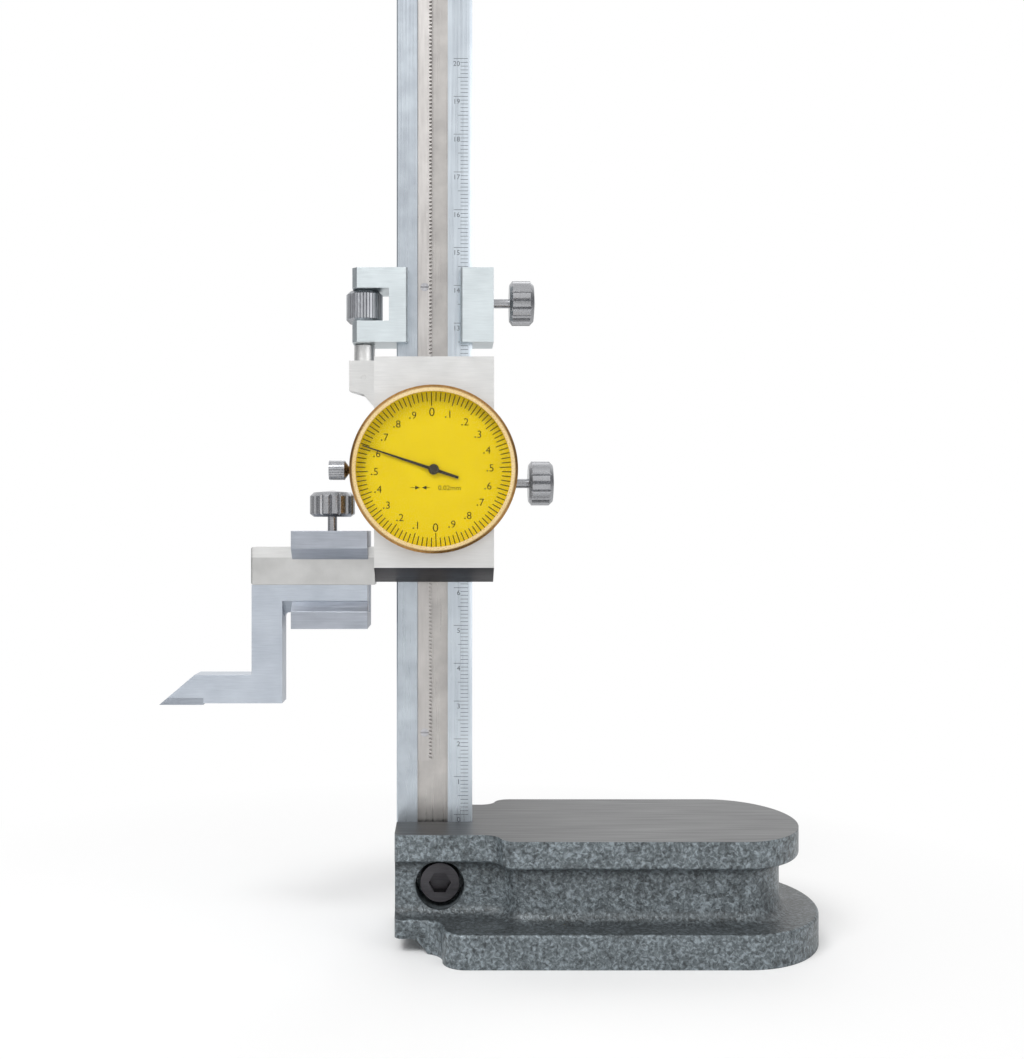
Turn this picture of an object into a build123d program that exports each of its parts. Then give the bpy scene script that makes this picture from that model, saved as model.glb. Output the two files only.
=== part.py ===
# Dial height gauge: cast base, graduated beam with a rack, dial slider with a fine-adjust
# carriage, and a clamped scriber.
# Millimetres. X runs to the right along the base, Y away from the dial, Z up.
# The origin is on the base's datum face, under the middle of the beam.
import os
from math import atan2, cos, pi, radians, sin, sqrt

from build123d import *

os.makedirs("parts", exist_ok=True)

# Fits
seat_gap = 0.02          # each side, between pieces that are fixed together
slide_gap = 0.05         # each side, between pieces that slide
turn_gap = 0.04          # radial, between a shaft and its bore

# Measuring
measuring_range = 200.0
reading = 61.6           # height that the scriber stands at
index_rise = 31.9        # index edge above the scriber's measuring edge
needle_lead = 2.0        # travel for one turn of the needle
fine_travel = 5.0        # travel of the fine adjustment

# Base casting
base_height = 30.0
base_left = -10.0        # flush with the beam's left edge
top_flange = 7.0
foot_flange = 8.5
neck_half = 17.5
top_half = 24.5
foot_overhang = 5.0      # foot beyond the top flange, all round the wide end
foot_flare = (-3.5, 8.0)      # where the sides swing out, at each level
waist_flare = (13.5, 25.0)
top_flare = (12.5, 21.0)
waist_inset = 5.0        # channel in from the top flange
waist_neck_inset = 4.3
channel_radius = 3.4
flange_round = 0.8       # cast edges of both flanges
nose_centre = 77.0
nose_flatness = 5.5      # how much shorter than a half circle the rounded end is
neck_corner = 2.0
relief_end = -4.5        # the foot is clear of the surface plate from the left end to here
relief_toe = -1.5
relief_height = 3.7
underside_start = 14.0
underside_land = 9.0
underside_depth = 2.0

# Beam and rack
beam_width = 20.0
beam_thick = 6.0
beam_foot = 5.0          # height of the beam's lower end inside the base
beam_margin = 2.6        # beam left above the carriage at full height
beam_edge = 0.3
scale_edge = (0.9, 0.35)
groove_left = -4.5
groove_right = 3.5
groove_depth = 1.6
rack_pitch = 1.0
rack_head_gap = 4.0      # plain groove above the rack
rack_foot = 46.0
rack_line = -1.0         # pitch line of the rack's teeth
rack_thick = 1.25
rack_screw_x = -2.6
rack_screw_heights = (53.5, 171.5, 289.5)
rack_screw_head = 1.1
rack_screw_shank = 0.7
rack_screw_grip = 1.5    # behind the beam's middle plane
rack_head_sink = 0.6
rack_slot = 0.3
rack_side_gap = 0.1
tooth_lean = 0.364       # tangent of the pressure angle
tooth_play = 0.02
root_gap = 0.08

# Screw that clamps the beam's foot
foot_screw_x = 1.5
foot_screw_z = 16.2
foot_screw_radius = 3.0
beam_screw_gap = 0.3     # radial, where the screw passes the beam
foot_head_radius = 5.0
foot_head_length = 6.0
foot_counterbore = 6.3
foot_head_sink = 2.0     # head below the channel's face
foot_screw_reach = 12.0  # into the far cheek
foot_socket_flats = 5.0
foot_socket_depth = 3.0

# Slider
slider_half = 15.5
slider_height = 58.5
slider_front = 11.0      # front face ahead of the beam's middle plane
gib_thick = 1.9
back_plate_thick = 2.5
back_plate_inset = 0.2
index_height = 3.9
index_edge = 4.1         # thin lower edge of the index plate, ahead of the middle plane
jaw_tip = -47.8
jaw_bottom_drop = 0.6    # jaw's underside below the slider's lower edge
jaw_height = 9.85
jaw_front = 8.0
ear_left = -22.6
jaw_edge = 0.4
ear_drop = 7.8
ear_foot = 1.2           # slanted underside of the ear, at the adjusting screw
ear_toe = 5.0            # and where it runs into the wall
ear_pin_drop = 4.5
ear_pin_radius = 0.6
movement_wall = 1.0      # slider left beside the movement's well
movement_depth = 5.5
gib_inset = 1.0
gib_screw_inset = 8.0
gib_screw_radius = 1.0
slider_clamp_above = 26.1     # axis above the slider's lower edge
plate_screw_edge = 1.7
plate_screw_inset = 4.0
plate_screw_radius = 0.8
plate_head_radius = 1.5
plate_head_depth = 1.0
dowel_edge = 3.0
dowel_front = 7.0
dowel_radius = 0.75
dowel_grip = 3.0
dowel_sink = 1.8

# Dial, all about one axis through the slider
dial_above = 29.0        # axis above the slider's lower edge
spigot_radius = 19.0     # bezel's spigot, which turns in the case
case_wall = 2.0
case_height = 4.2
case_floor = 0.9
case_lap = 0.5           # case's floor over the well
case_screw_radius = 0.8
case_screw_head = 1.5
case_screw_grip = 4.0
bezel_overhang = 0.25    # beyond the case
bezel_height = 4.9
bezel_ridges = 90
bezel_ridge_depth = 0.3
bezel_brow = 0.65        # plain bevelled rim ahead of the ridges
spigot_wall = 1.2
spigot_length = 2.9
ring_height = 0.4
ring_depth = 0.3         # into the spigot and into the case
ring_drop = 0.4          # below the case's rim
face_margin = 0.9        # dial plate, crystal and opening against the spigot
crystal_margin = 1.2
lip_margin = 0.6
face_thick = 0.4
face_height = 1.6        # back of the dial plate ahead of the case's rim
face_bore = 1.0
crystal_thick = 1.0
lip_thick = 0.65
needle_margin = 0.6      # tip short of the opening
needle_tail = 6.6
needle_root_half = 0.55
needle_tip_half = 0.12
needle_tail_half = 0.75
needle_thick = 0.2
needle_rise = 0.4        # above the dial plate
needle_angle = 161.5     # from +X towards +Z, at the reading above
boss_radius = 1.35
boss_height = 0.5

# Gear train
module_fine = 0.2
pinion_teeth = 10
wheel_teeth = 50
wheel_thick = 0.6
wheel_bore = 1.2
wheel_front = 6.2        # back face of the main wheel, ahead of the middle plane
wheel_gap = 0.2
pinion_reach = 1.5       # rear end of the rack pinion, ahead of the middle plane
pinion_length = 1.25
mesh_play = 0.03
arbor_radius = 0.5
centre_arbor_radius = 0.4
centre_arbor_rear = 3.3
pinion_bush_radius = 2.4
centre_bush_radius = 1.5
bridge_margin = 1.3      # bridge and pillars inside the well
bridge_back = 8.6
bridge_thick = 0.9
pillar_margin = 3.2
pillar_radius = 1.5
pillar_screw_radius = 0.6
pillar_screw_head = 1.2
pillar_head_height = 0.8
pillar_screw_rear = 3.5

# Fine adjustment
carriage_left = -21.6
carriage_right = 15.6
carriage_height = 19.6
carriage_rest_gap = 4.5  # carriage's underside above the slider's top
carriage_front = 6.0
carriage_back = 6.6
lip_left = -7.0
lip_right = 6.9
notch_reach = 9.7
notch_bottom = 5.6       # above the carriage's underside
notch_height = 8.6
carriage_bevel = 1.3
lip_bevel = 0.5
carriage_clamp_above = 11.1
nut_radius = 4.84
nut_ridges = 36
nut_ridge_depth = 0.22
nut_bevel = 0.9
nut_gap = 0.12
adjust_x = -18.7
adjust_radius = 1.25
adjust_top = 17.5        # above the carriage's underside at rest
adjust_foot = 8.4        # rod's lower end below the slider's top
collar_radius = 2.8
collar_height = 4.2
clamp_thread_lead = 0.5

# Clamp screws
knob_radius = 5.9
knob_length = 6.4
knob_dome = 0.5
knob_bevel = 1.0
knob_flutes = 16
flute_depth = 0.5         # V flutes with square bottoms
stem_radius = 1.25
pad_length = 1.4
pad_gap = 0.02           # radial, less than the stem
slider_knob_x = 25.0
carriage_knob_x = 19.9
scriber_knob_rise = 7.9  # knob above the jaw
scriber_screw_x = -26.9
lock_axis = 13.4         # ahead of the beam's middle plane
lock_stem_radius = 0.75
lock_pad_length = 1.0
lock_cone_rise = 0.6     # beyond the case
lock_knob_rise = 1.8
lock_knob_radius = 2.5
lock_knob_length = 4.0
lock_knob_ridges = 24
lock_ridge_depth = 0.15

# Scriber and its clamp
clamp_left = -37.0
clamp_right = -17.2
clamp_top = 4.2          # above the jaw
clamp_back = 4.0
clamp_front = 11.0
clamp_foot = 3.85        # wall below the scriber
lip_top_land = 4.5       # height of the upper lip's flat front
lip_foot_land = 4.45
shank_height = 7.35
shank_right = -17.4
scriber_bevel = 3.2
shank_left = -47.6
stem_width = 8.0
arm_height = 7.4
arm_corner = -62.5
inner_corner = 1.5
scriber_tip = -71.7
arm_rise = 0.4           # arm's underside above the carbide's edge
carbide_length = 11.5
carbide_thick = 1.8
tip_width = 2.5

# Worked-out levels and places
slider_bottom = reading + index_rise
slider_top = slider_bottom + slider_height
dial_z = slider_bottom + dial_above
carriage_bottom = slider_top + carriage_rest_gap
carriage_top = carriage_bottom + carriage_height
beam_half = beam_width / 2
beam_face = beam_thick / 2
beam_top = carriage_top + measuring_range - reading + fine_travel + beam_margin
channel_left = -beam_half - slide_gap
channel_right = beam_half + gib_thick + 3 * slide_gap
channel_front = beam_face + slide_gap
jaw_bottom = slider_bottom - jaw_bottom_drop
jaw_top = jaw_bottom + jaw_height
waist_neck = neck_half - waist_neck_inset
movement_radius = slider_half - movement_wall
bridge_radius = movement_radius - bridge_margin
pillar_circle = movement_radius - pillar_margin
plate_screw_x = slider_half - plate_screw_edge
dowel_x = slider_half - dowel_edge
case_radius = spigot_radius + case_wall
case_bore = movement_radius - case_lap
case_screw_offset = (case_bore + spigot_radius) / 2 / sqrt(2)
bezel_radius = case_radius + bezel_overhang
face_radius = spigot_radius + face_margin
crystal_radius = spigot_radius + crystal_margin
lip_bore = spigot_radius + lip_margin
needle_reach = lip_bore - needle_margin
lock_cone_x = -case_radius - lock_cone_rise
lock_knob_x = -case_radius - lock_knob_rise

dial_plane = Plane(origin=(0, 0, dial_z), x_dir=(1, 0, 0), z_dir=(0, -1, 0))
dial_axis = Axis((0, 0, dial_z), (0, -1, 0))


def save(name, piece):
    """Label a finished piece and write it."""
    piece.part.label = name
    export_step(piece.part, f"parts/{name}.step")


def front(distance):
    """Plane parallel to the dial, ahead of the beam's middle plane by a distance."""
    return Plane.XZ.offset(distance)


# ---------------------------------------------------------------- base

def base_plan(neck, wide, flare_from, flare_to):
    """One level of the casting: narrow neck, two flared sides and a rounded end."""
    middle = ((flare_from + flare_to) / 2, (neck + wide) / 2)
    nose_length = wide - nose_flatness
    with BuildSketch() as plan:
        with BuildLine():
            heel = Line((base_left, 0), (base_left, neck))
            cheek = Line(heel @ 1, (flare_from, neck))
            turn_out = TangentArc(cheek @ 1, middle, tangent=(1, 0))
            turn_in = TangentArc(middle, (flare_to, wide), tangent=turn_out % 1)
            nose = EllipticalCenterArc((nose_centre, 0), nose_length, wide, start_angle=0, arc_size=90)
            Line(turn_in @ 1, nose @ 1)
            Line(nose @ 0, heel @ 0)
        make_face()
        mirror(about=Plane.XZ)
    return plan.sketch


def channel_edges(part, low, high, height):
    """Edges at one height of the walls that stand between two levels."""
    walls = part.faces().filter_by(lambda face: abs(face.bounding_box().min.Z - low) < 0.01
                                   and abs(face.bounding_box().max.Z - high) < 0.01)
    return walls.edges().filter_by(lambda edge: abs(edge.bounding_box().min.Z - height) < 0.01
                                   and abs(edge.bounding_box().max.Z - height) < 0.01)


waist_top = base_height - top_flange
foot_half = top_half + foot_overhang
slot_half = beam_face + seat_gap
underside_end = nose_centre + foot_half - nose_flatness - underside_land
foot_screw_head = front(waist_neck - foot_head_sink)      # plane of the head's face
foot_screw_seat = waist_neck - foot_head_sink - foot_head_length

with BuildPart() as base_casting:
    with BuildSketch():
        add(base_plan(neck_half, foot_half, *foot_flare))
    extrude(amount=foot_flange)
    with BuildSketch(Plane.XY.offset(foot_flange)):
        add(base_plan(waist_neck, top_half - waist_inset, *waist_flare))
    extrude(amount=waist_top - foot_flange)
    fillet(channel_edges(base_casting.part, foot_flange, waist_top, foot_flange), channel_radius)
    with BuildSketch(Plane.XY.offset(waist_top)):
        add(base_plan(neck_half, top_half, *top_flare))
    extrude(amount=top_flange)
    fillet(channel_edges(base_casting.part, foot_flange + channel_radius, waist_top, waist_top),
           channel_radius)
    fillet(channel_edges(base_casting.part, 0, foot_flange, foot_flange), flange_round)
    fillet(channel_edges(base_casting.part, waist_top, base_height, waist_top), flange_round)
    # Rounded uprights of the narrow end
    with BuildSketch():
        with Locations((base_left, neck_half), (base_left, -neck_half)):
            Rectangle(2 * neck_corner, 2 * neck_corner)
        with Locations((base_left + neck_corner, neck_half - neck_corner),
                       (base_left + neck_corner, neck_corner - neck_half)):
            Circle(neck_corner, mode=Mode.SUBTRACT)
    extrude(amount=base_height, mode=Mode.SUBTRACT)
    # The heel is relieved, so that only the wide foot bears on the surface plate
    with BuildSketch(Plane.XZ):
        with BuildLine():
            Polyline((base_left - 1, -1), (relief_toe, -1), (relief_toe, 0),
                     (relief_end, relief_height), (base_left - 1, relief_height), close=True)
        make_face()
    extrude(amount=foot_half, both=True, mode=Mode.SUBTRACT)
    # Shallow recess inside the lapped land of the underside
    with BuildSketch():
        with Locations(((underside_start + underside_end) / 2, 0)):
            SlotOverall(underside_end - underside_start, 2 * (foot_half - underside_land))
    extrude(amount=underside_depth, mode=Mode.SUBTRACT)
    # Slot for the beam's foot, open at the heel
    with BuildSketch(Plane.XY.offset(beam_foot)):
        with Locations((base_left - 1, 0)):
            Rectangle(beam_half - base_left + seat_gap + 1, 2 * slot_half,
                      align=(Align.MIN, Align.CENTER))
    extrude(amount=base_height, mode=Mode.SUBTRACT)
    # Counterbore and clearance hole in the near cheek, tapped hole in the far one
    with BuildSketch(front(foot_screw_seat)):
        with Locations((foot_screw_x, foot_screw_z)):
            Circle(foot_counterbore)
    extrude(amount=neck_half, mode=Mode.SUBTRACT)
    with BuildSketch(front(-foot_screw_reach - seat_gap)):
        with Locations((foot_screw_x, foot_screw_z)):
            Circle(foot_screw_radius + seat_gap)
    extrude(amount=foot_screw_reach + neck_half, mode=Mode.SUBTRACT)
save("base_casting", base_casting)

with BuildPart() as beam_clamp_screw:
    with BuildSketch(foot_screw_head):
        with Locations((foot_screw_x, foot_screw_z)):
            Circle(foot_head_radius)
            RegularPolygon(foot_socket_flats / 2, 6, major_radius=False, mode=Mode.SUBTRACT)
    extrude(amount=-foot_socket_depth)
    with BuildSketch(front(foot_screw_seat)):
        with Locations((foot_screw_x, foot_screw_z)):
            Circle(foot_head_radius)
    extrude(amount=foot_head_length - foot_socket_depth)
    with BuildSketch(front(-foot_screw_reach)):
        with Locations((foot_screw_x, foot_screw_z)):
            Circle(foot_screw_radius)
    extrude(amount=foot_screw_reach + foot_screw_seat)
save("beam_clamp_screw", beam_clamp_screw)


# ---------------------------------------------------------------- beam and rack

with BuildPart() as beam:
    with BuildSketch(Plane.XY.offset(beam_foot)):
        with BuildLine():
            Polyline((-beam_half + beam_edge, -beam_face), (groove_left, -beam_face),
                     (groove_left, groove_depth - beam_face), (groove_right, groove_depth - beam_face),
                     (groove_right, -beam_face), (beam_half - scale_edge[0], -beam_face),
                     (beam_half, scale_edge[1] - beam_face), (beam_half, beam_face - beam_edge),
                     (beam_half - beam_edge, beam_face), (beam_edge - beam_half, beam_face),
                     (-beam_half, beam_face - beam_edge), (-beam_half, beam_edge - beam_face),
                     close=True)
        make_face()
    extrude(amount=beam_top - beam_foot)
    with BuildSketch(front(-beam_thick)):
        with Locations((foot_screw_x, foot_screw_z)):
            Circle(foot_screw_radius + beam_screw_gap)
    extrude(amount=2 * beam_thick, mode=Mode.SUBTRACT)
    with BuildSketch(front(-rack_screw_grip)):
        with Locations(*[(rack_screw_x, height) for height in rack_screw_heights]):
            Circle(rack_screw_shank + seat_gap)
    extrude(amount=beam_thick, mode=Mode.SUBTRACT)
save("beam", beam)

# The rack's pitch gives ten millimetres of travel for one turn of its pinion
rack_module = rack_pitch / pi
rack_floor = beam_face - groove_depth
rack_face = rack_floor + rack_thick
rack_left = groove_left + rack_side_gap
tooth_tip = rack_line + rack_module
tooth_root = rack_line - rack_module - root_gap


rack_teeth = int((beam_top - rack_head_gap - rack_foot) / rack_pitch)
rack_head = rack_foot + rack_teeth * rack_pitch


def rack_outline():
    """Points up the toothed edge of the rack, four to a tooth."""
    lean = tooth_lean * rack_module
    points = []
    for tooth in range(rack_teeth):
        middle = rack_foot + (tooth + 0.5) * rack_pitch
        half = rack_pitch / 4 - tooth_play
        points += [(tooth_root, middle - half - lean), (tooth_tip, middle - half + lean),
                   (tooth_tip, middle + half - lean), (tooth_root, middle + half + lean)]
    return points


with BuildPart() as rack:
    with BuildSketch(front(rack_floor)):
        with BuildLine():
            Polyline((rack_left, rack_foot), (tooth_root, rack_foot), *rack_outline(),
                     (tooth_root, rack_head), (rack_left, rack_head), close=True)
        make_face()
    extrude(amount=rack_thick)
    with BuildSketch(front(rack_floor)):
        with Locations(*[(rack_screw_x, height) for height in rack_screw_heights]):
            Circle(rack_screw_shank + seat_gap)
    extrude(amount=rack_thick, mode=Mode.SUBTRACT)
    with BuildSketch(front(rack_face - rack_head_sink)):
        with Locations(*[(rack_screw_x, height) for height in rack_screw_heights]):
            Circle(rack_screw_head + seat_gap)
    extrude(amount=rack_thick, mode=Mode.SUBTRACT)
save("rack", rack)

with BuildPart() as rack_screws:
    for height in rack_screw_heights:
        with BuildSketch(front(-rack_screw_grip + seat_gap)):
            with Locations((rack_screw_x, height)):
                Circle(rack_screw_shank)
        extrude(amount=rack_face - rack_head_sink + rack_screw_grip - seat_gap)
        with BuildSketch(front(rack_face - rack_head_sink)):
            with Locations((rack_screw_x, height)):
                Circle(rack_screw_head)
                Rectangle(2 * rack_screw_head, rack_slot, mode=Mode.SUBTRACT)
        extrude(amount=rack_head_sink - seat_gap)
save("rack_screws", rack_screws)


# ---------------------------------------------------------------- slider

ear_bottom = slider_top - ear_drop
ear_pin_z = slider_top - ear_pin_drop
slider_clamp_z = slider_bottom + slider_clamp_above
gib_screw_heights = (slider_bottom + gib_screw_inset, slider_top - gib_screw_inset)
plate_screw_places = [(x, z) for x in (-plate_screw_x, plate_screw_x)
                      for z in (slider_bottom + plate_screw_inset, slider_top - plate_screw_inset)]
case_screw_places = [(x, y) for x in (-case_screw_offset, case_screw_offset)
                     for y in (-case_screw_offset, case_screw_offset)]
dowel_places = [(-dowel_x, -dowel_front), (dowel_x, -dowel_front)]
pillar_places = [(pillar_circle * cos(turn), pillar_circle * sin(turn))
                 for turn in (pi / 2, pi / 2 + 2 * pi / 3, pi / 2 - 2 * pi / 3)]

# Centres of the two arbors: the rack pinion stands beside the rack, under the dial's axis
pinion_radius = pinion_teeth * rack_pitch / (2 * pi)
wheel_radius = wheel_teeth * module_fine / 2
centre_radius = pinion_teeth * module_fine / 2
arbor_spread = wheel_radius + centre_radius + mesh_play
pinion_x = rack_line + pinion_radius + mesh_play
pinion_drop = sqrt(arbor_spread ** 2 - pinion_x ** 2)
rack_pinion_place = (pinion_x, -pinion_drop)

with BuildPart() as slider_frame:
    # Front plate and the two walls beside the beam, above the index plate
    with BuildSketch(Plane.XY.offset(slider_bottom)):
        with Locations((0, (beam_face + slide_gap - slider_front) / 2)):
            Rectangle(2 * slider_half, slider_front + beam_face + slide_gap)
        with BuildLine():
            Polyline((channel_left, -channel_front), (channel_left, slider_front),
                     (channel_right, slider_front), (channel_right, -channel_front), close=True)
        make_face(mode=Mode.SUBTRACT)
    extrude(amount=slider_height)
    # Seat of the index plate along the lower edge
    with BuildSketch(front(channel_front)):
        with Locations((0, slider_bottom)):
            Rectangle(2 * slider_half, index_height, align=(Align.CENTER, Align.MIN))
    extrude(amount=slider_front, mode=Mode.SUBTRACT)
    # Jaw that carries the scriber
    with BuildSketch(front(0)):
        with Locations((jaw_tip, jaw_bottom)):
            Rectangle(-slider_half - jaw_tip, jaw_height, align=(Align.MIN, Align.MIN))
    extrude(amount=jaw_front)
    jaw_rim = slider_frame.edges().group_by(Axis.X)[0]
    chamfer(jaw_rim, jaw_edge)
    # Ear that holds the adjusting screw
    with BuildSketch(front(-channel_front)):
        with BuildLine():
            Polyline((-slider_half, slider_top), (ear_left, slider_top), (ear_left, ear_bottom),
                     (adjust_x, ear_bottom - ear_foot), (-slider_half, ear_bottom - ear_toe),
                     close=True)
        make_face()
    extrude(amount=2 * channel_front)
    with BuildSketch(Plane.XY.offset(ear_bottom - ear_toe)):
        with Locations((adjust_x, 0)):
            Circle(adjust_radius + seat_gap)
    extrude(amount=ear_toe + ear_drop, mode=Mode.SUBTRACT)
    with BuildSketch(front(-channel_front)):
        with Locations((adjust_x, ear_pin_z)):
            Circle(ear_pin_radius + seat_gap)
    extrude(amount=2 * channel_front, mode=Mode.SUBTRACT)
    # Well for the gear train, and the openings through its floor
    with BuildSketch(dial_plane.offset(slider_front - movement_depth)):
        Circle(movement_radius)
    extrude(amount=movement_depth, mode=Mode.SUBTRACT)
    with BuildSketch(dial_plane):
        with Locations(rack_pinion_place):
            Circle(pinion_bush_radius + seat_gap)
        Circle(centre_bush_radius + seat_gap)
        with Locations(*pillar_places):
            Circle(pillar_screw_radius + seat_gap)
    extrude(amount=slider_front, mode=Mode.SUBTRACT)
    # Tapped holes: clamp screw, gib screws, case screws, back plate screws, index dowels
    with BuildSketch(Plane.YZ.offset(channel_right - 1)):
        with Locations((0, slider_clamp_z)):
            Circle(stem_radius + turn_gap)
        with Locations(*[(0, height) for height in gib_screw_heights]):
            Circle(gib_screw_radius + seat_gap)
    extrude(amount=slider_half, mode=Mode.SUBTRACT)
    with BuildSketch(dial_plane.offset(slider_front - case_screw_grip)):
        with Locations(*case_screw_places):
            Circle(case_screw_radius + seat_gap)
    extrude(amount=case_screw_grip, mode=Mode.SUBTRACT)
    with BuildSketch(Plane.XZ):
        with Locations(*plate_screw_places):
            Circle(plate_screw_radius + seat_gap)
    extrude(amount=-slider_front, mode=Mode.SUBTRACT)
    with BuildSketch(Plane.XY.offset(slider_bottom + index_height)):
        with Locations(*dowel_places):
            Circle(dowel_radius + seat_gap)
    extrude(amount=dowel_grip, mode=Mode.SUBTRACT)
save("slider_frame", slider_frame)

back_plate_front = -channel_front
with BuildPart() as back_plate:
    with BuildSketch(Plane.XZ.offset(back_plate_front)):
        with Locations((0, slider_bottom + slider_height / 2)):
            Rectangle(2 * (slider_half - back_plate_inset), slider_height - 2 * back_plate_inset)
        with Locations(*plate_screw_places):
            Circle(plate_screw_radius + seat_gap, mode=Mode.SUBTRACT)
    extrude(amount=-back_plate_thick)
    with BuildSketch(Plane.XZ.offset(back_plate_front - back_plate_thick + plate_head_depth)):
        with Locations(*plate_screw_places):
            Circle(plate_head_radius + seat_gap)
    extrude(amount=-plate_head_depth, mode=Mode.SUBTRACT)
save("back_plate", back_plate)

with BuildPart() as back_plate_screws:
    with BuildSketch(Plane.XZ.offset(-seat_gap)):
        with Locations(*plate_screw_places):
            Circle(plate_screw_radius)
    extrude(amount=back_plate_front - back_plate_thick + plate_head_depth)
    with BuildSketch(Plane.XZ.offset(back_plate_front - back_plate_thick + plate_head_depth)):
        with Locations(*plate_screw_places):
            Circle(plate_head_radius)
            Rectangle(2 * plate_head_radius, rack_slot, mode=Mode.SUBTRACT)
    extrude(amount=seat_gap - plate_head_depth)
save("back_plate_screws", back_plate_screws)

with BuildPart() as gib:
    with BuildSketch(Plane.XY.offset(slider_bottom + gib_inset)):
        with Locations((beam_half + slide_gap, 0)):
            Rectangle(gib_thick, beam_thick - 2 * slide_gap, align=(Align.MIN, Align.CENTER))
    extrude(amount=slider_height - 2 * gib_inset)
save("gib", gib)

gib_back = beam_half + slide_gap + gib_thick
with BuildPart() as gib_set_screws:
    with BuildSketch(Plane.YZ.offset(gib_back)):
        with Locations(*[(0, height) for height in gib_screw_heights]):
            Circle(gib_screw_radius)
    extrude(amount=slider_half - gib_back - back_plate_inset)
    with BuildSketch(Plane.YZ.offset(slider_half - back_plate_inset)):
        with Locations(*[(0, height) for height in gib_screw_heights]):
            Rectangle(2 * gib_screw_radius, rack_slot)
    extrude(amount=-gib_screw_radius / 2, mode=Mode.SUBTRACT)
save("gib_set_screws", gib_set_screws)

with BuildPart() as index_plate:
    with BuildSketch(Plane.YZ.offset(-slider_half)):
        with BuildLine():
            Polyline((-slider_front, slider_bottom + index_height),
                     (-channel_front, slider_bottom + index_height),
                     (-channel_front, slider_bottom), (-index_edge, slider_bottom), close=True)
        make_face()
    extrude(amount=2 * slider_half)
    with BuildSketch(Plane.XY.offset(slider_bottom + index_height)):
        with Locations(*dowel_places):
            Circle(dowel_radius + seat_gap)
    extrude(amount=-dowel_sink, mode=Mode.SUBTRACT)
save("index_plate", index_plate)

with BuildPart() as index_dowels:
    with BuildSketch(Plane.XY.offset(slider_bottom + index_height - dowel_sink)):
        with Locations(*dowel_places):
            Circle(dowel_radius)
    extrude(amount=dowel_sink + dowel_grip - seat_gap)
save("index_dowels", index_dowels)


# ---------------------------------------------------------------- dial

case_rim = slider_front + case_height
bezel_back = case_rim + slide_gap
bezel_front = bezel_back + bezel_height
face_back = case_rim + face_height
face_front = face_back + face_thick
crystal_back = bezel_front - lip_thick - crystal_thick
ring_back = case_rim - ring_drop - ring_height


def turned(points, name=None):
    """Ring turned about the dial's axis from its section, given as (radius, distance ahead)."""
    with BuildSketch(Plane.XY.offset(dial_z)) as section:
        with BuildLine():
            Polyline(*[(radius, -ahead) for radius, ahead in points], close=True)
        make_face()
    return revolve(section.sketch, axis=dial_axis, mode=Mode.PRIVATE)


with BuildPart() as dial_case:
    add(turned([(case_bore, slider_front), (case_radius, slider_front), (case_radius, case_rim),
                (spigot_radius + slide_gap, case_rim), (spigot_radius + slide_gap, ring_back + ring_height),
                (spigot_radius + ring_depth, ring_back + ring_height),
                (spigot_radius + ring_depth, ring_back), (spigot_radius + slide_gap, ring_back),
                (spigot_radius + slide_gap, slider_front + case_floor),
                (case_bore, slider_front + case_floor)]))
    with BuildSketch(dial_plane.offset(slider_front)):
        with Locations(*case_screw_places):
            Circle(case_screw_radius + seat_gap)
    extrude(amount=case_floor, mode=Mode.SUBTRACT)
    with BuildSketch(Plane(origin=(-case_radius - 1, -lock_axis, dial_z), z_dir=(1, 0, 0))):
        Circle(lock_stem_radius + turn_gap)
    extrude(amount=case_radius - spigot_radius + 2, mode=Mode.SUBTRACT)
save("dial_case", dial_case)

with BuildPart() as case_screws:
    with BuildSketch(dial_plane.offset(slider_front - case_screw_grip + seat_gap)):
        with Locations(*case_screw_places):
            Circle(case_screw_radius)
    extrude(amount=case_screw_grip + case_floor - seat_gap)
    with BuildSketch(dial_plane.offset(slider_front + case_floor)):
        with Locations(*case_screw_places):
            Circle(case_screw_head)
    extrude(amount=case_floor / 2)
save("case_screws", case_screws)

with BuildPart() as bezel:
    add(turned([(spigot_radius - spigot_wall, bezel_back - spigot_length),
                (spigot_radius, bezel_back - spigot_length), (spigot_radius, ring_back - seat_gap),
                (spigot_radius - ring_depth, ring_back - seat_gap),
                (spigot_radius - ring_depth, ring_back + ring_height + seat_gap),
                (spigot_radius, ring_back + ring_height + seat_gap), (spigot_radius, bezel_back),
                (bezel_radius, bezel_back), (bezel_radius, bezel_front - bezel_brow),
                (bezel_radius - bezel_brow, bezel_front), (lip_bore, bezel_front),
                (lip_bore, bezel_front - lip_thick),
                (crystal_radius + seat_gap, bezel_front - lip_thick),
                (crystal_radius + seat_gap, crystal_back), (face_radius + seat_gap, crystal_back),
                (face_radius + seat_gap, face_back), (spigot_radius - spigot_wall, face_back)]))
    with BuildSketch(dial_plane.offset(bezel_back)):
        with PolarLocations(bezel_radius, bezel_ridges):
            RegularPolygon(bezel_ridge_depth, 3, rotation=180)
    extrude(amount=bezel_height - bezel_brow - bezel_ridge_depth, mode=Mode.SUBTRACT)
save("bezel", bezel)

with BuildPart() as retaining_ring:
    add(turned([(spigot_radius - ring_depth + seat_gap, ring_back),
                (spigot_radius + ring_depth - seat_gap, ring_back),
                (spigot_radius + ring_depth - seat_gap, ring_back + ring_height),
                (spigot_radius - ring_depth + seat_gap, ring_back + ring_height)]))
    with BuildSketch(dial_plane.offset(ring_back)):
        with Locations((0, spigot_radius)):
            Rectangle(4 * ring_height, 4 * ring_depth)
    extrude(amount=ring_height, mode=Mode.SUBTRACT)
save("retaining_ring", retaining_ring)

with BuildPart() as dial_plate:
    with BuildSketch(dial_plane.offset(face_back)):
        Circle(face_radius)
        Circle(face_bore, mode=Mode.SUBTRACT)
    extrude(amount=face_thick)
save("dial_plate", dial_plate)

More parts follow.
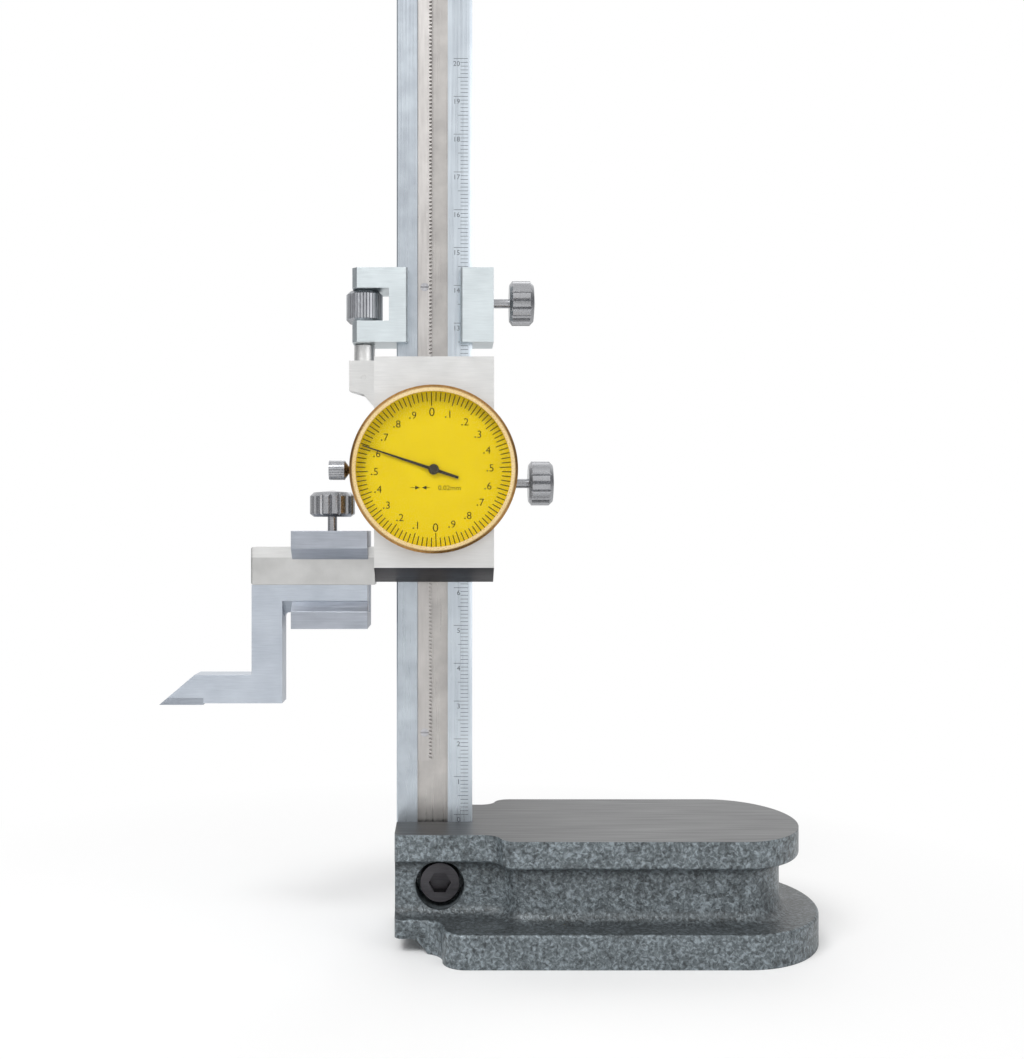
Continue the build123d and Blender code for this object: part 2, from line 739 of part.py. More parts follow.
with BuildPart() as crystal:
    with BuildSketch(dial_plane.offset(crystal_back)):
        Circle(crystal_radius)
    extrude(amount=crystal_thick)
save("crystal", crystal)


# ---------------------------------------------------------------- gear train

def gear_face(teeth, module, bore, aim):
    """Toothed disc about the sketch's origin, with one tooth pointing along the angle aim."""
    pitch = teeth * module / 2
    root = pitch - module - root_gap
    tip = pitch + module * 0.95
    half = pi / (2 * teeth) - tooth_play / pitch
    flank = {root: half + (pitch - root) * tooth_lean / pitch,
             tip: half - (tip - pitch) * tooth_lean / pitch}
    points = []
    for tooth in range(teeth):
        middle = aim + tooth * 2 * pi / teeth
        for radius, side in ((root, -1), (tip, -1), (tip, 1), (root, 1)):
            turn = middle + side * flank[radius]
            points.append((radius * cos(turn), radius * sin(turn)))
    with BuildSketch() as disc:
        with BuildLine():
            Polyline(*points, close=True)
        make_face()
        if bore:
            Circle(bore, mode=Mode.SUBTRACT)
    return disc.sketch


# A rack tooth fills the gap that faces it, and a wheel tooth the gap of the centre pinion
pinion_z = dial_z - pinion_drop
facing_tooth = rack_foot + (int((pinion_z - rack_foot) / rack_pitch) + 0.5) * rack_pitch
pinion_aim = pi - (facing_tooth - pinion_z) / pinion_radius + pi / pinion_teeth
wheel_aim = atan2(pinion_drop, -pinion_x)
centre_aim = wheel_aim + pi + pi / pinion_teeth
bridge_front = bridge_back + bridge_thick
second_wheel = wheel_front + wheel_thick + wheel_gap

with BuildPart() as rack_pinion:
    with BuildSketch(dial_plane.offset(pinion_reach)):
        with Locations(rack_pinion_place):
            add(gear_face(pinion_teeth, rack_module, 0, pinion_aim))
    extrude(amount=pinion_length)
    with BuildSketch(dial_plane.offset(pinion_reach)):
        with Locations(rack_pinion_place):
            Circle(arbor_radius)
    extrude(amount=bridge_front - pinion_reach)
    with BuildSketch(dial_plane.offset(wheel_front)):
        with Locations(rack_pinion_place):
            Circle(wheel_bore)
    extrude(amount=2 * wheel_thick + wheel_gap)
save("rack_pinion", rack_pinion)

for name, level in (("main_wheel", wheel_front), ("anti_backlash_wheel", second_wheel)):
    with BuildPart() as wheel:
        with BuildSketch(dial_plane.offset(level)):
            with Locations(rack_pinion_place):
                add(gear_face(wheel_teeth, module_fine, wheel_bore + seat_gap, wheel_aim))
        extrude(amount=wheel_thick)
    save(name, wheel)

with BuildPart() as centre_pinion:
    with BuildSketch(dial_plane.offset(wheel_front - wheel_gap)):
        add(gear_face(pinion_teeth, module_fine, 0, centre_aim))
    extrude(amount=2 * wheel_thick + 3 * wheel_gap)
    with BuildSketch(dial_plane.offset(centre_arbor_rear)):
        Circle(centre_arbor_radius)
    extrude(amount=face_front + needle_rise - centre_arbor_rear)
save("centre_pinion", centre_pinion)

with BuildPart() as arbor_bushes:
    with BuildSketch(dial_plane.offset(channel_front)):
        with Locations(rack_pinion_place):
            Circle(pinion_bush_radius)
            Circle(arbor_radius + turn_gap, mode=Mode.SUBTRACT)
        Circle(centre_bush_radius)
        Circle(centre_arbor_radius + turn_gap, mode=Mode.SUBTRACT)
    extrude(amount=slider_front - movement_depth - channel_front)
save("arbor_bushes", arbor_bushes)

with BuildPart() as bridge:
    with BuildSketch(dial_plane.offset(bridge_back)):
        Circle(bridge_radius)
        Circle(centre_arbor_radius + turn_gap, mode=Mode.SUBTRACT)
        with Locations(rack_pinion_place):
            Circle(arbor_radius + turn_gap, mode=Mode.SUBTRACT)
        with Locations(*pillar_places):
            Circle(pillar_screw_radius + seat_gap, mode=Mode.SUBTRACT)
    extrude(amount=bridge_thick)
save("bridge", bridge)

with BuildPart() as pillars:
    with BuildSketch(dial_plane.offset(slider_front - movement_depth)):
        with Locations(*pillar_places):
            Circle(pillar_radius)
            Circle(pillar_screw_radius + seat_gap, mode=Mode.SUBTRACT)
    extrude(amount=bridge_back - slider_front + movement_depth)
save("pillars", pillars)

with BuildPart() as bridge_screws:
    with BuildSketch(dial_plane.offset(pillar_screw_rear)):
        with Locations(*pillar_places):
            Circle(pillar_screw_radius)
    extrude(amount=bridge_front - pillar_screw_rear)
    with BuildSketch(dial_plane.offset(bridge_front)):
        with Locations(*pillar_places):
            Circle(pillar_screw_head)
    extrude(amount=pillar_head_height)
save("bridge_screws", bridge_screws)

needle_turn = radians(needle_angle)
with BuildPart() as needle:
    with BuildSketch(Plane(origin=(0, -face_front - needle_rise, dial_z),
                           x_dir=(cos(needle_turn), 0, sin(needle_turn)), z_dir=(0, -1, 0))):
        with BuildLine():
            Polyline((-needle_tail, -needle_tail_half), (0, -needle_root_half),
                     (needle_reach, -needle_tip_half), (needle_reach, needle_tip_half),
                     (0, needle_root_half), (-needle_tail, needle_tail_half), close=True)
        make_face()
    extrude(amount=needle_thick)
save("needle", needle)

with BuildPart() as needle_boss:
    with BuildSketch(dial_plane.offset(face_front + needle_rise + needle_thick)):
        Circle(boss_radius)
    extrude(amount=boss_height)
    chamfer(needle_boss.edges().group_by(Axis.Y)[0], boss_height / 3)
save("needle_boss", needle_boss)


# ---------------------------------------------------------------- clamp screws

def fluted_knob(plane, radius, length, flutes, depth):
    """Domed knob with V flutes all round, standing on the plane."""
    with BuildPart() as knob:
        with BuildSketch(plane):
            Circle(radius)
            with PolarLocations(radius + depth, flutes):
                RegularPolygon(2 * depth, 4, mode=Mode.SUBTRACT)
        extrude(amount=length + knob_dome)
        # The section's own upward direction is the knob's axis
        with BuildSketch(Plane(origin=plane.origin, x_dir=plane.x_dir, z_dir=-plane.y_dir)):
            with BuildLine():
                Polyline((0, 0), (radius - knob_bevel, 0), (radius, knob_bevel * 0.8),
                         (radius, length - knob_bevel), (radius - knob_bevel, length),
                         (0, length + knob_dome), close=True)
            make_face()
        revolve(axis=Axis(plane.origin, plane.z_dir), mode=Mode.INTERSECT)
    return knob.part


def clamp_screw(pad_name, screw_name, nose, pad, knob_at):
    """Brass pad at the screw's nose, and the screw. The plane nose faces outwards."""
    with BuildPart() as nose_pad:
        with BuildSketch(nose):
            Circle(stem_radius - pad_gap)
        extrude(amount=pad)
    save(pad_name, nose_pad)
    with BuildPart() as screw:
        with BuildSketch(nose.offset(pad + seat_gap)):
            Circle(stem_radius)
        extrude(amount=knob_at - pad - seat_gap)
        add(fluted_knob(nose.offset(knob_at), knob_radius, knob_length, knob_flutes,
                        flute_depth))
    save(screw_name, screw)


carriage_clamp_z = carriage_bottom + carriage_clamp_above
slider_nose = gib_back + slide_gap
carriage_nose = beam_half + slide_gap
clamp_screw("slider_clamp_pad", "slider_clamp_screw",
            Plane(origin=(slider_nose, 0, slider_clamp_z), z_dir=(1, 0, 0)),
            pad_length, slider_knob_x - slider_nose)
clamp_screw("carriage_clamp_pad", "carriage_clamp_screw",
            Plane(origin=(carriage_nose, 0, carriage_clamp_z), z_dir=(1, 0, 0)),
            pad_length, carriage_knob_x - carriage_nose)
clamp_screw("scriber_clamp_pad", "scriber_clamp_screw",
            Plane(origin=(scriber_screw_x, -jaw_front / 2, jaw_top + slide_gap)),
            pad_length, scriber_knob_rise - slide_gap)

lock_nose = Plane(origin=(-spigot_radius - slide_gap, -lock_axis, dial_z), z_dir=(-1, 0, 0))
with BuildPart() as bezel_lock_pad:
    with BuildSketch(lock_nose):
        Circle(lock_stem_radius - pad_gap)
    extrude(amount=lock_pad_length)
save("bezel_lock_pad", bezel_lock_pad)

lock_stem = lock_pad_length + seat_gap
lock_cone = -lock_cone_x - spigot_radius - slide_gap
lock_knob = -lock_knob_x - spigot_radius - slide_gap
with BuildPart() as bezel_lock_screw:
    with BuildSketch(lock_nose.offset(lock_stem)):
        Circle(lock_stem_radius)
    extrude(amount=lock_cone - lock_stem)
    with BuildSketch(lock_nose.offset(lock_cone)):
        Circle(lock_stem_radius)
    with BuildSketch(lock_nose.offset(lock_knob)):
        Circle(lock_knob_radius)
    loft()
    with BuildSketch(lock_nose.offset(lock_knob)):
        Circle(lock_knob_radius)
        with PolarLocations(lock_knob_radius, lock_knob_ridges):
            RegularPolygon(lock_ridge_depth, 3, rotation=180, mode=Mode.SUBTRACT)
    extrude(amount=lock_knob_length)
save("bezel_lock_screw", bezel_lock_screw)


# ---------------------------------------------------------------- fine adjustment

adjust_bore = adjust_radius + turn_gap
notch_floor = carriage_bottom + notch_bottom
with BuildPart() as carriage_frame:
    with BuildSketch(Plane.XY.offset(carriage_bottom)):
        with Locations((carriage_left, -carriage_front)):
            Rectangle(carriage_right - carriage_left, carriage_front + carriage_back,
                      align=(Align.MIN, Align.MIN))
        Rectangle(beam_width + 2 * slide_gap, beam_thick + 2 * slide_gap, mode=Mode.SUBTRACT)
        with Locations((lip_left, -carriage_front)):
            Rectangle(lip_right - lip_left, carriage_front, align=(Align.MIN, Align.MIN),
                      mode=Mode.SUBTRACT)
        with Locations((adjust_x, 0)):
            Circle(adjust_bore, mode=Mode.SUBTRACT)
    extrude(amount=carriage_height)
    front_uprights = carriage_frame.edges().filter_by(Axis.Z).group_by(Axis.Y)[0].sort_by(Axis.X)
    chamfer(front_uprights[0], carriage_bevel)
    chamfer(carriage_frame.edges().filter_by(Axis.Z).group_by(Axis.Y)[0].sort_by(Axis.X)[1:3],
            lip_bevel)
    with BuildSketch(front(-carriage_back)):
        with Locations((carriage_left, notch_floor)):
            Rectangle(notch_reach, notch_height, align=(Align.MIN, Align.MIN))
    extrude(amount=carriage_front + carriage_back, mode=Mode.SUBTRACT)
    with BuildSketch(Plane(origin=(beam_half, 0, carriage_clamp_z), z_dir=(1, 0, 0))):
        Circle(stem_radius + turn_gap)
    extrude(amount=carriage_right - beam_half, mode=Mode.SUBTRACT)
save("carriage_frame", carriage_frame)

with BuildPart() as adjusting_screw:
    with BuildSketch(Plane.XY.offset(slider_top - adjust_foot)):
        with Locations((adjust_x, 0)):
            Circle(adjust_radius)
    extrude(amount=adjust_foot + carriage_rest_gap + adjust_top)
    with BuildSketch(Plane.XY.offset(slider_top)):
        with Locations((adjust_x, 0)):
            Circle(collar_radius)
    extrude(amount=collar_height)
    with BuildSketch(front(-collar_radius)):
        with Locations((adjust_x, ear_pin_z)):
            Circle(ear_pin_radius + seat_gap)
    extrude(amount=2 * collar_radius, mode=Mode.SUBTRACT)
save("adjusting_screw", adjusting_screw)

with BuildPart() as ear_pin:
    with BuildSketch(front(slide_gap - channel_front)):
        with Locations((adjust_x, ear_pin_z)):
            Circle(ear_pin_radius)
    extrude(amount=2 * channel_front - 2 * slide_gap)
save("ear_pin", ear_pin)

nut_height = notch_height - 2 * nut_gap
with BuildPart() as fine_adjust_nut:
    with BuildSketch(Plane.XY.offset(notch_floor + nut_gap)):
        with Locations((adjust_x, 0)):
            Circle(nut_radius)
            with PolarLocations(nut_radius, nut_ridges):
                RegularPolygon(nut_ridge_depth, 3, rotation=180, mode=Mode.SUBTRACT)
            Circle(adjust_bore, mode=Mode.SUBTRACT)
    extrude(amount=nut_height)
    with BuildSketch(Plane(origin=(adjust_x, 0, notch_floor + nut_gap), x_dir=(1, 0, 0),
                           z_dir=(0, -1, 0))):
        with BuildLine():
            Polyline((0, 0), (nut_radius - nut_bevel, 0), (nut_radius, nut_bevel),
                     (nut_radius, nut_height - nut_bevel), (nut_radius - nut_bevel, nut_height),
                     (0, nut_height), close=True)
        make_face()
    revolve(axis=Axis((adjust_x, 0, 0), (0, 0, 1)), mode=Mode.INTERSECT)
save("fine_adjust_nut", fine_adjust_nut)


# ---------------------------------------------------------------- scriber and its clamp

shank_top = jaw_bottom - slide_gap
shank_bottom = shank_top - shank_height
clamp_back_inner = slide_gap
clamp_face = -jaw_front - slide_gap
clamp_head = jaw_top + clamp_top
clamp_base = shank_bottom - slide_gap - clamp_foot
bevel_run = clamp_front + clamp_face

with BuildPart() as scriber_clamp:
    with BuildSketch(Plane.YZ.offset(clamp_left)):
        with BuildLine():
            Polyline((clamp_back, clamp_head), (-clamp_front, clamp_head),
                     (-clamp_front, clamp_head - lip_top_land),
                     (clamp_face, clamp_head - lip_top_land - bevel_run),
                     (clamp_face, jaw_top + slide_gap), (clamp_back_inner, jaw_top + slide_gap),
                     (clamp_back_inner, shank_bottom - slide_gap),
                     (scriber_bevel - jaw_front - slide_gap, shank_bottom - slide_gap),
                     (clamp_face, shank_bottom + scriber_bevel - slide_gap),
                     (-clamp_front, clamp_base + lip_foot_land), (-clamp_front, clamp_base),
                     (clamp_back, clamp_base), close=True)
        make_face()
    extrude(amount=clamp_right - clamp_left)
    with BuildSketch(Plane.XY.offset(jaw_top)):
        with Locations((scriber_screw_x, -jaw_front / 2)):
            Circle(stem_radius + turn_gap)
    extrude(amount=clamp_top, mode=Mode.SUBTRACT)
save("scriber_clamp", scriber_clamp)

tip_z = reading
arm_bottom = tip_z + arm_rise
arm_top = arm_bottom + arm_height
stem_right = shank_left + stem_width
carbide_right = scriber_tip + carbide_length
carbide_top = tip_z + carbide_thick
bevel_slope = (arm_corner - scriber_tip) / (arm_top - tip_z)
carbide_shoulder = scriber_tip + carbide_thick * bevel_slope


def point_relief():
    """Block that narrows the point from behind, seen in plan."""
    with BuildPart() as relief:
        with BuildSketch(Plane.XY.offset(tip_z - 1)):
            with BuildLine():
                Polyline((arm_corner, 0), (scriber_tip, tip_width - jaw_front),
                         (scriber_tip - 1, tip_width - jaw_front), (scriber_tip - 1, 1),
                         (arm_corner, 1), close=True)
            make_face()
        extrude(amount=arm_height + 2)
    return relief.part


with BuildPart() as scriber:
    with BuildSketch(front(0)):
        with BuildLine():
            Polyline((shank_left, shank_top), (shank_right, shank_top), (shank_right, shank_bottom),
                     (stem_right, shank_bottom), (stem_right, arm_bottom),
                     (carbide_right, arm_bottom), (carbide_right, carbide_top),
                     (carbide_shoulder, carbide_top), (arm_corner, arm_top),
                     (shank_left, arm_top), close=True)
        make_face()
    extrude(amount=jaw_front)
    corner = scriber.edges().filter_by(Axis.Y).sort_by_distance((stem_right, 0, shank_bottom))[0]
    fillet(corner, inner_corner)
    with BuildSketch(Plane.YZ.offset(stem_right)):
        with BuildLine():
            Polyline((-jaw_front - 1, shank_bottom + scriber_bevel + 1),
                     (-jaw_front - 1, shank_bottom - 1),
                     (scriber_bevel - jaw_front + 1, shank_bottom - 1), close=True)
        make_face()
    extrude(amount=shank_right - stem_right, mode=Mode.SUBTRACT)
    add(point_relief(), mode=Mode.SUBTRACT)
save("scriber", scriber)

with BuildPart() as carbide_tip:
    with BuildSketch(front(0)):
        with BuildLine():
            Polyline((scriber_tip, tip_z), (carbide_right, tip_z), (carbide_right, carbide_top),
                     (carbide_shoulder, carbide_top), close=True)
        make_face()
    extrude(amount=jaw_front)
    add(point_relief(), mode=Mode.SUBTRACT)
save("carbide_tip", carbide_tip)
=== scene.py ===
import math
import bpy
import bmesh
from mathutils import Matrix, Vector


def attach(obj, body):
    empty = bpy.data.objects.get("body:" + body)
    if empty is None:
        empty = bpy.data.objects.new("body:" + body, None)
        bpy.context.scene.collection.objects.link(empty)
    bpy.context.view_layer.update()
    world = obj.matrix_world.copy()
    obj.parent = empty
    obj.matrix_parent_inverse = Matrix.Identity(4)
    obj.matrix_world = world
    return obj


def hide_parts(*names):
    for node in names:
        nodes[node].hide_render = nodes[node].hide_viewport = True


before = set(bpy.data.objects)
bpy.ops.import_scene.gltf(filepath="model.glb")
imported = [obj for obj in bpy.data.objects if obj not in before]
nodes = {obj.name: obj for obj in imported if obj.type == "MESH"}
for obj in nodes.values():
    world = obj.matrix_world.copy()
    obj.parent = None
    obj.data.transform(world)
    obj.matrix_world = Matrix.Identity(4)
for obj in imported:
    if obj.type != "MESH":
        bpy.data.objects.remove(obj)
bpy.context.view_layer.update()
scene = bpy.context.scene
mm = 0.001
print("frame loaded:", len(nodes), "nodes")


# Small helpers

def hexColour(code):
    # sRGB hex to the linear values that the shaders take
    parts = [int(code[i:i + 2], 16) / 255 for i in (1, 3, 5)]
    return tuple(c / 12.92 if c <= 0.04045 else ((c + 0.055) / 1.055) ** 2.4 for c in parts) + (1.0,)


def addNode(tree, kind, inputs=None, **settings):
    # One node with its settings; an input takes a value or another node's output
    node = tree.nodes.new(kind)
    for key, value in settings.items():
        setattr(node, key, value)
    for key, value in (inputs or {}).items():
        if isinstance(value, bpy.types.NodeSocket):
            tree.links.new(value, node.inputs[key])
        else:
            node.inputs[key].default_value = value
    return node


def newMaterial(name):
    material = bpy.data.materials.new(name)
    material.use_nodes = True
    tree = material.node_tree
    return material, tree, tree.nodes["Principled BSDF"]


def spread(tree, node, stops):
    # Colour ramp from a list of (position, hex)
    ramp = addNode(tree, "ShaderNodeValToRGB", {"Fac": node})
    points = ramp.color_ramp.elements
    while len(points) < len(stops):
        points.new(0.5)
    for point, (place, code) in zip(points, stops):
        point.position = place
        point.color = hexColour(code)
    return ramp.outputs["Color"]


def insideMask(tree, place, limits):
    # 1 where every limit (axis, test, mm) holds, 0 elsewhere
    parts = addNode(tree, "ShaderNodeSeparateXYZ", {"Vector": place})
    inside = None
    for axis, test, limit in limits:
        step = addNode(tree, "ShaderNodeMath", {0: parts.outputs[axis], 1: limit * mm}, operation=test)
        if inside:
            step = addNode(tree, "ShaderNodeMath", {0: step.outputs[0], 1: inside.outputs[0]},
                           operation="MULTIPLY")
        inside = step
    return inside.outputs[0]


def layOver(tree, mask, cover):
    # the cover colour takes the place of the base colour where the mask is 1
    shader = tree.nodes["Principled BSDF"]
    under = shader.inputs["Base Color"].links[0].from_socket
    colour = addNode(tree, "ShaderNodeMix", {"Factor": mask, 6: under, 7: cover}, data_type="RGBA")
    tree.links.new(colour.outputs[2], shader.inputs["Base Color"])


def clouded(tree, place, size, dark, light, detail=4.0, low=0.3, high=0.7):
    # a soft change between two colours; size is that of its patches in mm
    cloud = addNode(tree, "ShaderNodeTexNoise", {"Vector": place, "Scale": 1 / (size * mm), "Detail": detail})
    return spread(tree, cloud.outputs["Fac"], [(low, dark), (high, light)])


grinding = {"cloud": 9.0, "low": 0.35, "high": 0.65, "smoother": 0.06, "rougher": 0.08, "depth": 0.05}


def groundMetal(name, dark, light, rough, grain, bump=0.05):
    # grain is the size in mm of the marks along X, Y and Z, longest along the grinding
    material, tree, shader = newMaterial(name)
    place = addNode(tree, "ShaderNodeTexCoord").outputs["Object"]
    marks = addNode(tree, "ShaderNodeMapping", {"Vector": place,
                                                "Scale": [1 / (size * mm) for size in grain]})
    streaks = addNode(tree, "ShaderNodeTexNoise", {"Vector": marks.outputs["Vector"], "Scale": 1.0,
                                                   "Detail": 4.0, "Roughness": 0.6}).outputs["Fac"]
    clouds = addNode(tree, "ShaderNodeTexNoise", {"Vector": place, "Scale": 1 / (grinding["cloud"] * mm),
                                                  "Detail": 2.0}).outputs["Fac"]
    blend = addNode(tree, "ShaderNodeMath", {0: streaks, 1: clouds}, operation="ADD")
    half = addNode(tree, "ShaderNodeMath", {0: blend.outputs[0], 1: 0.5}, operation="MULTIPLY")
    colour = spread(tree, half.outputs[0], [(grinding["low"], dark), (grinding["high"], light)])
    tree.links.new(colour, shader.inputs["Base Color"])
    gloss = addNode(tree, "ShaderNodeMapRange", {"Value": streaks, "From Min": 0.3, "From Max": 0.7,
                                                 "To Min": rough - grinding["smoother"],
                                                 "To Max": rough + grinding["rougher"]})
    tree.links.new(gloss.outputs["Result"], shader.inputs["Roughness"])
    relief = addNode(tree, "ShaderNodeBump", {"Height": streaks, "Strength": bump,
                                              "Distance": grinding["depth"] * mm})
    tree.links.new(relief.outputs["Normal"], shader.inputs["Normal"])
    shader.inputs["Metallic"].default_value = 1.0
    return material


# Materials, each named for what the real one is

toolSteel = {"dark": "#CDCDCC", "light": "#DBDBDA", "rough": 0.38, "grain": (6.0, 0.5, 0.35)}


def sliderSteel():
    # ground tool steel; painted shade makes the jaw a little darker than the body that it stands out from
    jawShade = {"right": -15.5, "top": 100.0, "cloud": 5.0, "dark": "#B5B5B4", "light": "#C2C2C1"}
    material = groundMetal("sliderSteel", **toolSteel)
    tree = material.node_tree
    place = addNode(tree, "ShaderNodeTexCoord").outputs["Object"]
    # painted shade: darker colour over the jaw
    mask = insideMask(tree, place, [("X", "LESS_THAN", jawShade["right"]), ("Z", "LESS_THAN", jawShade["top"])])
    layOver(tree, mask, clouded(tree, place, jawShade["cloud"], jawShade["dark"], jawShade["light"]))
    return material


frameSteel = sliderSteel()
# ground tool steel: fine marks across, a soft grey sheen
groundSteel = groundMetal("groundSteel", **toolSteel)
# the carriage, ground finer, has a colder sheen
carriageSteel = groundMetal("carriageSteel", "#C5CDD0", "#D4DCDF", 0.34, (5.0, 0.5, 0.35))


def beamSteel():
    # satin chrome on the lands; the milled groove between them is bare, warmer and duller,
    # and painted shade makes the left land a little darker than the right
    groove = {"left": -4.55, "right": 3.55, "front": -2.95, "cloud": 5.0,
              "dark": "#A9A6A4", "light": "#BBB8B5"}
    landShade = {"left": -9.95, "cloud": 5.0, "dark": "#AAB1B9", "light": "#BBC3CA"}
    material = groundMetal("beamSteel", "#B3BBC3", "#C5CDD4", 0.30, (0.4, 0.4, 30.0))
    tree = material.node_tree
    place = addNode(tree, "ShaderNodeTexCoord").outputs["Object"]
    inGroove = insideMask(tree, place, [
        ("X", "GREATER_THAN", groove["left"]), ("X", "LESS_THAN", groove["right"]),
        ("Y", "GREATER_THAN", groove["front"]), ("Y", "LESS_THAN", 0.0)])
    layOver(tree, inGroove, clouded(tree, place, groove["cloud"], groove["dark"], groove["light"]))
    # painted shade: darker colour over the left land
    onShadedLand = insideMask(tree, place, [
        ("X", "GREATER_THAN", landShade["left"]), ("X", "LESS_THAN", groove["left"]),
        ("Y", "LESS_THAN", groove["front"])])
    layOver(tree, onShadedLand, clouded(tree, place, landShade["cloud"], landShade["dark"], landShade["light"]))
    return material


satinChrome = beamSteel()
# milled rack steel: warmer and duller than the lands beside it
milledSteel = groundMetal("milledSteel", "#ACA9A7", "#BDBAB8", 0.42, (0.5, 0.5, 8.0))
# ground tool steel of the scriber, a little blue
scriberSteel = groundMetal("scriberSteel", "#ACB3BD", "#BFC6CF", 0.34, (5.0, 0.5, 0.35))
# its clamp, of the same steel left darker
clampSteel = groundMetal("clampSteel", "#9DA2AB", "#B4B9C2", 0.34, (8.0, 0.5, 0.35))
# blackened steel: nearly black with a faint sheen
blackenedSteel = groundMetal("blackenedSteel", "#38373A", "#504F52", 0.40, (5.0, 0.6, 0.6))
# knurled nut of plain steel
nutSteel = groundMetal("nutSteel", "#95979B", "#ABADB1", 0.36, (0.8, 0.8, 0.8), 0.03)
# ground carbide: a little darker and duller than the steel it is brazed to
groundCarbide = groundMetal("groundCarbide", "#8D939C", "#A0A6AF", 0.40, (4.0, 0.5, 0.4))
# turned steel with dull chrome on the clamp knobs
knobChrome = groundMetal("knobChrome", "#97989B", "#A9AAAD", 0.26, (0.25, 0.25, 0.25), 0.01)
# turned screw steel
turnedSteel = groundMetal("turnedSteel", "#A0A0A4", "#BEBEC2", 0.32, (0.5, 0.5, 0.5), 0.03)


def bezelLacquer():
    # lacquered brass: a bright turned lip, browned in the knurling outside it
    ring = {"centre": 122.5, "knurled": 20.5, "soft": 0.2, "wear": 0.6, "dark": "#9A7243", "light": "#AE854E"}
    material = groundMetal("bezelLacquer", "#E9C887", "#F5DDAE", 0.28, (0.3, 0.3, 0.3), 0.01)
    tree = material.node_tree
    place = addNode(tree, "ShaderNodeTexCoord").outputs["Object"]
    moved = addNode(tree, "ShaderNodeVectorMath", {0: place, 1: (0, 0, ring["centre"] * mm)},
                    operation="SUBTRACT")
    level = addNode(tree, "ShaderNodeVectorMath", {0: moved.outputs[0], 1: (1, 0, 1)}, operation="MULTIPLY")
    radius = addNode(tree, "ShaderNodeVectorMath", {0: level.outputs[0]}, operation="LENGTH")
    outside = addNode(tree, "ShaderNodeMapRange", {"Value": radius.outputs["Value"],
                                                   "From Min": (ring["knurled"] - ring["soft"]) * mm,
                                                   "From Max": (ring["knurled"] + ring["soft"]) * mm})
    brown = clouded(tree, place, ring["wear"], ring["dark"], ring["light"], 2.0, 0.35, 0.65)
    layOver(tree, outside.outputs["Result"], brown)
    return material


bezelBrass = bezelLacquer()
# plain turned brass inside
turnedBrass = groundMetal("turnedBrass", "#B08C4C", "#D2B06E", 0.34, (0.5, 0.5, 0.5), 0.03)


def paintedMetal(name, dark, light, rough, patch, shine=0.5):
    # thin satin paint with a faint mottle, the size of its patches in mm
    relief = {"strength": 0.04, "depth": 0.02}
    material, tree, shader = newMaterial(name)
    place = addNode(tree, "ShaderNodeTexCoord").outputs["Object"]
    cloud = addNode(tree, "ShaderNodeTexNoise", {"Vector": place, "Scale": 1 / (patch * mm),
                                                 "Detail": 3.0}).outputs["Fac"]
    tree.links.new(spread(tree, cloud, [(0.3, dark), (0.7, light)]), shader.inputs["Base Color"])
    bump = addNode(tree, "ShaderNodeBump", {"Height": cloud, "Strength": relief["strength"],
                                            "Distance": relief["depth"] * mm})
    tree.links.new(bump.outputs["Normal"], shader.inputs["Normal"])
    shader.inputs["Roughness"].default_value = rough
    shader.inputs["Specular IOR Level"].default_value = shine
    return material


# satin yellow enamel of the dial
dialPaint = paintedMetal("dialPaint", "#D6BA00", "#DBC004", 0.55, 6.0, 0.2)
# printed ink on the dial
blackPrint = paintedMetal("blackPrint", "#3A3307", "#2C2705", 0.6, 0.8, 0.2)
# paint in the engraved lines of the scale
scaleInk = paintedMetal("scaleInk", "#55595F", "#43474D", 0.6, 0.8)
# satin black of the needle
needlePaint = paintedMetal("needlePaint", "#2B2208", "#1D1706", 0.4, 0.8)


